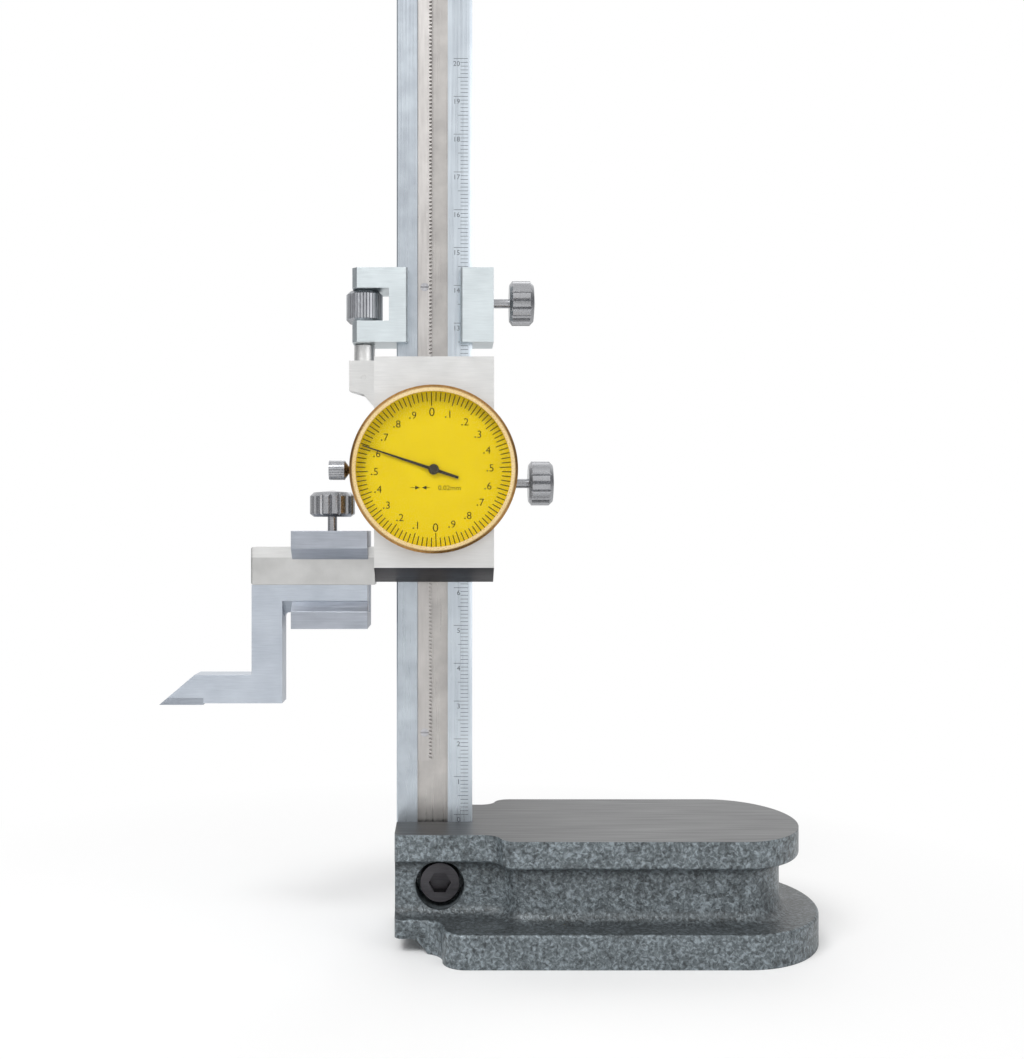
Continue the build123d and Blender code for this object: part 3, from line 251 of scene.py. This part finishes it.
def hammeredIron():
    # hammered enamel on cast iron: a dimpled dark skin with pale flecks; top and underside are ground bare
    skin = {"fleck": 0.95, "patch": 5.0, "patchShare": 0.25, "dimple": 0.25, "metallic": 0.25, "rough": 0.36,
            "dark": "#383D40", "mid": "#5D6569", "pale": "#8D979D"}
    channel = {"low": 8.5, "high": 23.0, "reach": 4.5, "margin": 0.05, "share": 0.45, "cornerShade": "#2B2927"}
    ground = {"top": 30.0, "margin": 0.25, "level": 0.9, "metallic": 0.9, "rough": 0.42,
              "turn": 0.12, "marks": (25.0, 0.6, 5.0), "scratch": 0.06, "depth": 0.05,
              "dark": "#565658", "pale": "#797A7A"}
    # painted shade on the bare faces, darker towards the beam
    shade = {"near": 10.0, "far": 47.0, "least": 0.6}
    material, tree, shader = newMaterial("hammeredIron")
    place = addNode(tree, "ShaderNodeTexCoord").outputs["Object"]
    axes = addNode(tree, "ShaderNodeSeparateXYZ", {"Vector": place})

    flecks = addNode(tree, "ShaderNodeTexNoise", {"Vector": place, "Scale": 1 / (skin["fleck"] * mm),
                                                  "Detail": 3.0, "Roughness": 0.6, "Distortion": 0.6})
    patches = addNode(tree, "ShaderNodeTexNoise", {"Vector": place, "Scale": 1 / (skin["patch"] * mm),
                                                   "Detail": 2.0})
    share = addNode(tree, "ShaderNodeMath", {0: patches.outputs["Fac"], 1: skin["patchShare"]},
                    operation="MULTIPLY")
    mixed = addNode(tree, "ShaderNodeMath", {0: flecks.outputs["Fac"], 1: share.outputs[0]}, operation="ADD")
    enamel = spread(tree, mixed.outputs[0], [(0.45, skin["dark"]), (0.62, skin["mid"]), (0.82, skin["pale"])])
    tree.links.new(enamel, shader.inputs["Base Color"])

    # painted shade darkens the channel between the flanges along its corners
    half = (channel["high"] - channel["low"]) / 2
    heart = addNode(tree, "ShaderNodeMath", {0: axes.outputs["Z"], 1: (channel["low"] + half) * mm},
                    operation="SUBTRACT")
    off = addNode(tree, "ShaderNodeMath", {0: heart.outputs[0]}, operation="ABSOLUTE")
    corner = addNode(tree, "ShaderNodeMapRange", {"Value": off.outputs[0],
                                                  "From Min": (half - channel["reach"]) * mm,
                                                  "From Max": half * mm, "To Max": channel["share"]},
                     interpolation_type="SMOOTHSTEP")
    inside = addNode(tree, "ShaderNodeMath", {0: off.outputs[0], 1: (half + channel["margin"]) * mm},
                     operation="LESS_THAN")
    # painted shade: the corner colour laid over the enamel
    paintedShade = addNode(tree, "ShaderNodeMath", {0: corner.outputs["Result"], 1: inside.outputs[0]},
                   operation="MULTIPLY")
    layOver(tree, paintedShade.outputs[0], hexColour(channel["cornerShade"]))

    # the bare faces: level, and at the top or the bottom; straight grinding marks, with painted shade darker
    # towards the beam
    marks = addNode(tree, "ShaderNodeMapping", {"Vector": place, "Rotation": (0, 0, ground["turn"]),
                                                "Scale": [1 / (size * mm) for size in ground["marks"]]})
    lines = addNode(tree, "ShaderNodeTexNoise", {"Vector": marks.outputs["Vector"], "Scale": 1.0,
                                                 "Detail": 4.0})
    bare = spread(tree, lines.outputs["Fac"], [(0.35, ground["dark"]), (0.65, ground["pale"])])
    along = addNode(tree, "ShaderNodeMapRange", {"Value": axes.outputs["X"], "From Min": shade["near"] * mm,
                                                 "From Max": shade["far"] * mm,
                                                 "To Min": shade["least"], "To Max": 1.0})
    shaded = addNode(tree, "ShaderNodeVectorMath", {0: bare, "Scale": along.outputs["Result"]},
                     operation="SCALE")
    normal = addNode(tree, "ShaderNodeNewGeometry").outputs["Normal"]
    facing = addNode(tree, "ShaderNodeSeparateXYZ", {"Vector": normal})
    upright = addNode(tree, "ShaderNodeMath", {0: facing.outputs["Z"]}, operation="ABSOLUTE")
    flat = addNode(tree, "ShaderNodeMath", {0: upright.outputs[0], 1: ground["level"]},
                   operation="GREATER_THAN")
    middle = addNode(tree, "ShaderNodeMath", {0: axes.outputs["Z"], 1: ground["top"] / 2 * mm},
                     operation="SUBTRACT")
    reach = addNode(tree, "ShaderNodeMath", {0: middle.outputs[0]}, operation="ABSOLUTE")
    outer = addNode(tree, "ShaderNodeMath", {0: reach.outputs[0],
                                             1: (ground["top"] / 2 - ground["margin"]) * mm},
                    operation="GREATER_THAN")
    machined = addNode(tree, "ShaderNodeMath", {0: outer.outputs[0], 1: flat.outputs[0]},
                       operation="MULTIPLY").outputs[0]
    layOver(tree, machined, shaded.outputs["Vector"])

    for key, socket in (("metallic", "Metallic"), ("rough", "Roughness")):
        value = addNode(tree, "ShaderNodeMapRange", {"Value": machined, "To Min": skin[key],
                                                     "To Max": ground[key]})
        tree.links.new(value.outputs["Result"], shader.inputs[socket])
    painted = addNode(tree, "ShaderNodeMath", {0: 1.0, 1: machined}, operation="SUBTRACT")
    dimples = addNode(tree, "ShaderNodeBump", {"Height": mixed.outputs[0], "Strength": painted.outputs[0],
                                               "Distance": skin["dimple"] * mm})
    scratches = addNode(tree, "ShaderNodeBump", {"Height": lines.outputs["Fac"],
                                                 "Strength": ground["scratch"],
                                                 "Distance": ground["depth"] * mm,
                                                 "Normal": dimples.outputs["Normal"]})
    tree.links.new(scratches.outputs["Normal"], shader.inputs["Normal"])
    return material


def clearCrystal():
    # moulded acrylic crystal: almost clear, with a polished face
    look = {"Base Color": hexColour("#FFFFFF"), "Roughness": 0.04, "IOR": 1.49, "Transmission Weight": 1.0,
            "Alpha": 0.12}
    material, _, shader = newMaterial("clearCrystal")
    for socket, value in look.items():
        shader.inputs[socket].default_value = value
    return material


hammeredPaint = hammeredIron()
crystalAcrylic = clearCrystal()
print("materials made")


# Pieces

def finishMesh(obj, sharp):
    for face in obj.data.polygons:
        face.use_smooth = True
    obj.data.set_sharp_from_angle(angle=math.radians(sharp))


def addPiece(name, bm, finish, body, replaced=(), sharp=30):
    # A bmesh becomes a piece that rides on its body
    mesh = bpy.data.meshes.new(name)
    bm.to_mesh(mesh)
    bm.free()
    if "custom_normal" in mesh.attributes:      # the solid's own shading no longer fits
        mesh.attributes.remove(mesh.attributes["custom_normal"])
    mesh.materials.clear()
    mesh.materials.append(finish)
    obj = bpy.data.objects.new(name, mesh)
    scene.collection.objects.link(obj)
    finishMesh(obj, sharp)
    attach(obj, body)
    if replaced:
        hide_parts(*replaced)
    return obj


easing = {"merge": 0.002, "flat": 0.5, "angle": 32, "segments": 2}      # mm, degrees, degrees, steps


def easedCopy(node, finish, body, edge):
    # The solid's own form with its edges broken, as a stone leaves them; edge is in mm
    bm = bmesh.new()
    bm.from_mesh(nodes[node].data)
    bmesh.ops.remove_doubles(bm, verts=bm.verts, dist=easing["merge"] * mm)
    bmesh.ops.dissolve_limit(bm, angle_limit=math.radians(easing["flat"]), verts=bm.verts, edges=bm.edges)
    obj = addPiece(node + "Finished", bm, finish, body, (node,), easing["angle"])
    if edge:
        bevel = obj.modifiers.new("edges", "BEVEL")
        bevel.width = edge * mm
        bevel.segments = easing["segments"]
        bevel.limit_method = "ANGLE"
        bevel.angle_limit = math.radians(easing["angle"])
        bevel.use_clamp_overlap = True
        bevel.harden_normals = True


# node: (finish, body, slot, broken edge in mm)
finished = {
    "base_casting": (hammeredPaint, "base", "cast_paint", 0.5),
    "beam": (satinChrome, "base", "beam_steel", 0.0),
    "slider_frame": (frameSteel, "slider", "ground_steel", 0.18),
    "index_plate": (blackenedSteel, "slider", "dark_steel", 0.1),
    "back_plate": (groundSteel, "slider", "ground_steel", 0.2),
    "carriage_frame": (carriageSteel, "carriage", "ground_steel", 0.15),
    "scriber_clamp": (clampSteel, "scriber_clamp", "scriber_steel", 0.15),
    "scriber": (scriberSteel, "scriber", "scriber_steel", 0.1),
    "bezel": (bezelBrass, "bezel", "bezel_brass", 0.0),
    "slider_clamp_screw": (knobChrome, "slider_clamp_screw", "knob_chrome", 0.15),
    "carriage_clamp_screw": (knobChrome, "carriage_clamp_screw", "knob_chrome", 0.15),
    "scriber_clamp_screw": (knobChrome, "scriber_clamp_screw", "knob_chrome", 0.15),
    "bezel_lock_screw": (knobChrome, "bezel_lock_screw", "knob_chrome", 0.08),
    "fine_adjust_nut": (nutSteel, "fine_adjust_nut", "dark_steel", 0.06),
}
for node, (finish, body, slot, edge) in finished.items():
    easedCopy(node, finish, body, edge)
print("finished copies made")

# the other nodes keep their own mesh and take a finish
kept = {
    "beam_clamp_screw": blackenedSteel, "rack": milledSteel, "rack_screws": turnedSteel,
    "index_dowels": turnedSteel, "back_plate_screws": blackenedSteel, "gib": turnedBrass,
    "gib_set_screws": blackenedSteel, "dial_case": bezelBrass, "case_screws": turnedSteel,
    "retaining_ring": turnedSteel, "bridge": turnedBrass, "pillars": turnedBrass,
    "bridge_screws": turnedSteel, "arbor_bushes": turnedBrass, "adjusting_screw": groundSteel,
    "ear_pin": groundSteel, "rack_pinion": turnedSteel, "main_wheel": turnedBrass,
    "anti_backlash_wheel": turnedBrass, "centre_pinion": turnedSteel, "needle": needlePaint,
    "needle_boss": needlePaint, "crystal": crystalAcrylic, "dial_plate": dialPaint,
    "bezel_lock_pad": turnedBrass, "slider_clamp_pad": turnedBrass, "carriage_clamp_pad": turnedBrass,
    "scriber_clamp_pad": turnedBrass, "carbide_tip": groundCarbide,
}
for node, finish in kept.items():
    for slot in nodes[node].material_slots:
        slot.material = finish


# Print: lines and numbers, as thin as ink

def addBar(bm, alongX, alongY, alongZ, matrix):
    made = bmesh.ops.create_cube(bm, size=1.0)["verts"]
    bmesh.ops.scale(bm, vec=(alongX, alongY, alongZ), verts=made)
    bmesh.ops.transform(bm, matrix=matrix, verts=made)


def addPlate(bm, outline, front, back, matrix):
    # a flat plate from an outline of (x, z) points in mm; front and back are its depths towards -Y
    verts = [bm.verts.new(Vector((x, -front, z)) * mm) for x, z in outline]
    made = bmesh.ops.extrude_face_region(bm, geom=[bm.faces.new(verts)])["geom"]
    rear = [part for part in made if isinstance(part, bmesh.types.BMVert)]
    bmesh.ops.translate(bm, vec=(0, (front - back) * mm, 0), verts=rear)
    bmesh.ops.transform(bm, matrix=matrix, verts=verts + rear)
    faces = dict.fromkeys(face for vert in verts + rear for face in vert.link_faces)
    bmesh.ops.recalc_face_normals(bm, faces=list(faces))


figureShare = 0.73      # height of a figure against the font's size


def addText(bm, words, height, thick, matrix):
    # height is that of the figures
    curve = bpy.data.curves.new("words", "FONT")
    curve.body = words
    curve.size = height / figureShare
    curve.align_x = "CENTER"
    curve.extrude = thick / 2
    curve.resolution_u = 3
    maker = bpy.data.objects.new("words", curve)
    scene.collection.objects.link(maker)
    bpy.context.view_layer.update()
    solid = maker.evaluated_get(bpy.context.evaluated_depsgraph_get())
    mesh = bpy.data.meshes.new_from_object(solid)
    mesh.transform(matrix)
    bm.from_mesh(mesh)
    bpy.data.objects.remove(maker)
    bpy.data.curves.remove(curve)
    bpy.data.meshes.remove(mesh)


facing = Matrix.Rotation(math.radians(90), 4, "X")      # text that stands up and faces the reader

beamScale = {"zero": 31.9, "range": 200, "lineRight": 8.9, "short": 2.0, "middle": 2.7, "long": 3.8,
             "line": 0.13, "numberRight": 6.9, "figure": 1.35, "pitch": 0.78, "drop": 1.27, "ink": 0.02,
             "face": 3.0}


def printScale():
    # a line each millimetre, and a number each ten, a little below its line
    bm = bmesh.new()
    size = beamScale
    for step in range(size["range"] + 1):
        length = size["long"] if step % 10 == 0 else size["middle"] if step % 5 == 0 else size["short"]
        middle = Vector((size["lineRight"] - length / 2, -size["face"], size["zero"] + step)) * mm
        addBar(bm, length * mm, size["ink"] * mm, size["line"] * mm, Matrix.Translation(middle))
        if step % 10 == 0:
            words = str(step // 10)
            centre = size["numberRight"] - 0.5 * size["figure"] * len(words) * size["pitch"]
            foot = size["zero"] + step - size["drop"] - size["figure"] / 2
            place = Vector((centre, -size["face"], foot)) * mm
            addText(bm, words, size["figure"] * mm, size["ink"] * mm, Matrix.Translation(place) @ facing)
    addPiece("beamScale", bm, scaleInk, "base")


dialPrintSize = {"centre": 122.5, "face": 17.2, "ink": 0.02, "turn": 1.8, "outer": 19.6, "minor": 17.3,
                 "major": 16.7, "main": 16.1, "line": 0.24, "number": 14.65, "figure": 1.95,
                 "zeroFigure": 2.3, "point": 0.36, "pointLeft": 0.55}
# the words that give a division's worth, and the two arrows that frame it: (tail, point)
dialNote = {"words": "0.02mm", "x": 4.0, "z": -4.6, "height": 1.3, "arrows": ((-5.9, -3.5), (-0.9, -3.0)),
            "headLength": 1.2, "headHalf": 0.5, "line": 0.14}


def addArrow(bm, tail, point, matrix):
    # A flat arrow along X, from its tail to its point in mm
    ink = dialPrintSize["ink"]
    half = dialNote["headHalf"]
    root = point - math.copysign(dialNote["headLength"], point - tail)
    shaft = Matrix.Translation(Vector(((tail + root) / 2, 0, 0)) * mm)
    addBar(bm, abs(root - tail) * mm, ink * mm, dialNote["line"] * mm, matrix @ shaft)
    addPlate(bm, [(root, half), (point, 0), (root, -half)], ink / 2, -ink / 2, matrix)


def printDial():
    bm = bmesh.new()
    size = dialPrintSize
    ink = size["ink"] * mm
    middle = Matrix.Translation(Vector((0, -size["face"], size["centre"])) * mm)
    for step in range(100):
        inner = size["main"] if step % 50 == 0 else size["major"] if step % 5 == 0 else size["minor"]
        length = size["outer"] - inner
        turn = Matrix.Rotation(math.radians(step * 3.6 - size["turn"]), 4, "Y")
        out = Matrix.Translation(Vector((0, 0, (inner + length / 2) * mm)))
        addBar(bm, size["line"] * mm, ink, length * mm, middle @ turn @ out)
    for tenth in range(20):
        digit = tenth % 10
        figure = size["figure"] if digit else size["zeroFigure"]
        angle = math.radians(tenth * 18 - size["turn"])
        place = Vector((math.sin(angle), 0, math.cos(angle))) * size["number"] * mm
        foot = place - Vector((0, 0, figure / 2 * mm))
        addText(bm, str(digit), figure * mm, ink, middle @ Matrix.Translation(foot) @ facing)
        if digit:
            dot = foot + Vector((-size["pointLeft"] * figure, 0, size["point"] / 2)) * mm
            addBar(bm, size["point"] * mm, ink, size["point"] * mm, middle @ Matrix.Translation(dot))
    low = Matrix.Translation(Vector((dialNote["x"], 0, dialNote["z"] - dialNote["height"] / 2)) * mm)
    addText(bm, dialNote["words"], dialNote["height"] * mm, ink, middle @ low @ facing)
    row = Matrix.Translation(Vector((0, 0, dialNote["z"])) * mm)
    for tail, point in dialNote["arrows"]:
        addArrow(bm, tail, point, middle @ row)
    addPiece("dialPrint", bm, blackPrint, "bezel")


printScale()
printDial()
print("print made")


def makeNeedle():
    # A blade that tapers to its tip, and a slim tail; angle from +X towards +Z
    blade = {"centre": 122.5, "angle": 161.5, "tip": 19.0, "tail": 6.6, "tipHalf": 0.12, "rootHalf": 0.42,
             "tailHalf": 0.34, "front": 17.8, "back": 17.6}
    upper = [(-blade["tail"], blade["tailHalf"]), (0, blade["rootHalf"]), (blade["tip"], blade["tipHalf"])]
    outline = [(x, -z) for x, z in upper] + upper[::-1]
    turn = Matrix.Rotation(math.radians(-blade["angle"]), 4, "Y")
    middle = Matrix.Translation(Vector((0, 0, blade["centre"])) * mm)
    bm = bmesh.new()
    addPlate(bm, outline, blade["front"], blade["back"], middle @ turn)
    addPiece("needleBlade", bm, needlePaint, "needle_arbor", ("needle",))


makeNeedle()


# Floor, light and camera

paper = {"half": 6.0, "drop": 0.02, "colour": "#FAFAFA", "rough": 0.9, "fadeFrom": 0.05, "fadeTo": 0.20}


def addFloor():
    # matt white paper that the camera sees fade to plain white away from the object; the fade is in metres
    bm = bmesh.new()
    bmesh.ops.create_grid(bm, x_segments=1, y_segments=1, size=paper["half"])
    mesh = bpy.data.meshes.new("floor")
    bm.to_mesh(mesh)
    bm.free()
    floor = bpy.data.objects.new("floor", mesh)
    floor.location.z = -paper["drop"] * mm
    scene.collection.objects.link(floor)
    material, tree, shader = newMaterial("paperFloor")
    shader.inputs["Base Color"].default_value = hexColour(paper["colour"])
    shader.inputs["Roughness"].default_value = paper["rough"]
    place = addNode(tree, "ShaderNodeTexCoord").outputs["Object"]
    far = addNode(tree, "ShaderNodeVectorMath", {0: place}, operation="LENGTH")
    fade = addNode(tree, "ShaderNodeMapRange", {"Value": far.outputs["Value"], "From Min": paper["fadeFrom"],
                                                "From Max": paper["fadeTo"]})
    ray = addNode(tree, "ShaderNodeLightPath")
    seen = addNode(tree, "ShaderNodeMath", {0: ray.outputs["Is Camera Ray"], 1: fade.outputs["Result"]},
                   operation="MULTIPLY")
    white = addNode(tree, "ShaderNodeEmission", {"Color": (1, 1, 1, 1), "Strength": 1.0})
    mixed = addNode(tree, "ShaderNodeMixShader", {0: seen.outputs[0], 1: shader.outputs[0],
                                                  2: white.outputs[0]})
    tree.links.new(mixed.outputs[0], tree.nodes["Material Output"].inputs["Surface"])
    mesh.materials.append(material)


tent = {"strength": 0.48, "height": [(0.3, "#C8C8C8"), (0.55, "#F0F0F0"), (0.8, "#FFFFFF")],
        "sides": [(0.70, "#FFFFFF"), (0.95, "#8E8E91")]}


def addWorld():
    # white paper for the camera and behind glass, and for what metal mirrors, with darker sides there
    world = bpy.data.worlds.new("tent")
    scene.world = world
    world.use_nodes = True
    tree = world.node_tree
    ground = tree.nodes["Background"]
    way = addNode(tree, "ShaderNodeTexCoord").outputs["Generated"]
    parts = addNode(tree, "ShaderNodeSeparateXYZ", {"Vector": way})
    rise = addNode(tree, "ShaderNodeMapRange", {"Value": parts.outputs["Z"], "From Min": -1.0,
                                                "From Max": 1.0})
    tree.links.new(spread(tree, rise.outputs["Result"], tent["height"]), ground.inputs["Color"])
    ground.inputs["Strength"].default_value = tent["strength"]
    side = addNode(tree, "ShaderNodeMath", {0: parts.outputs["X"]}, operation="ABSOLUTE")
    sides = spread(tree, side.outputs[0], tent["sides"])
    ray = addNode(tree, "ShaderNodeLightPath")
    tint = addNode(tree, "ShaderNodeMix", {"Factor": ray.outputs["Is Glossy Ray"], 6: (1, 1, 1, 1), 7: sides},
                   data_type="RGBA")
    mirrored = addNode(tree, "ShaderNodeBackground", {"Color": tint.outputs[2], "Strength": 1.0})
    first = addNode(tree, "ShaderNodeMath", {0: ray.outputs["Is Camera Ray"],
                                             1: ray.outputs["Is Glossy Ray"]}, operation="MAXIMUM")
    shown = addNode(tree, "ShaderNodeMath", {0: first.outputs[0], 1: ray.outputs["Is Transmission Ray"]},
                    operation="MAXIMUM")
    either = addNode(tree, "ShaderNodeMixShader", {0: shown.outputs[0], 1: ground.outputs[0],
                                                   2: mirrored.outputs[0]})
    tree.links.new(either.outputs[0], tree.nodes["World Output"].inputs["Surface"])


lampTarget = (0, 0, 0.12)       # about the middle of the dial, in metres
lamps = {   # place and size in metres, power in watts
    "key": {"place": (-0.40, -0.60, 0.85), "size": 0.45, "power": 7.5},
    "fill": {"place": (0.60, -0.60, 0.30), "size": 0.6, "power": 1.5},
    "rim": {"place": (0.1, 0.6, 0.7), "size": 0.5, "power": 1.0},
}


def addLamps():
    target = Vector(lampTarget)
    for name, lamp in lamps.items():
        light = bpy.data.lights.new(name, "AREA")
        light.size = lamp["size"]
        light.energy = lamp["power"]
        obj = bpy.data.objects.new(name, light)
        obj.location = lamp["place"]
        obj.rotation_euler = (target - obj.location).to_track_quat("-Z", "Y").to_euler()
        scene.collection.objects.link(obj)


# place in mm, lens and sensor in mm, clipping in metres
view = {"place": (4.4, -333.0, 107.3), "lens": 42.4, "sensor": 36.0, "shiftX": 0.0575, "near": 0.01,
        "far": 50.0}


def addCamera():
    camera = bpy.data.cameras.new("camera")
    camera.sensor_width = view["sensor"]
    camera.lens = view["lens"]
    camera.shift_x = view["shiftX"]
    camera.clip_start = view["near"]
    camera.clip_end = view["far"]
    obj = bpy.data.objects.new("camera", camera)
    obj.location = Vector(view["place"]) * mm
    obj.rotation_euler = (math.radians(90), 0, 0)
    scene.collection.objects.link(obj)
    scene.camera = obj


addFloor()
addWorld()
addLamps()
addCamera()
scene.view_settings.view_transform = "Standard"
print("stage set")
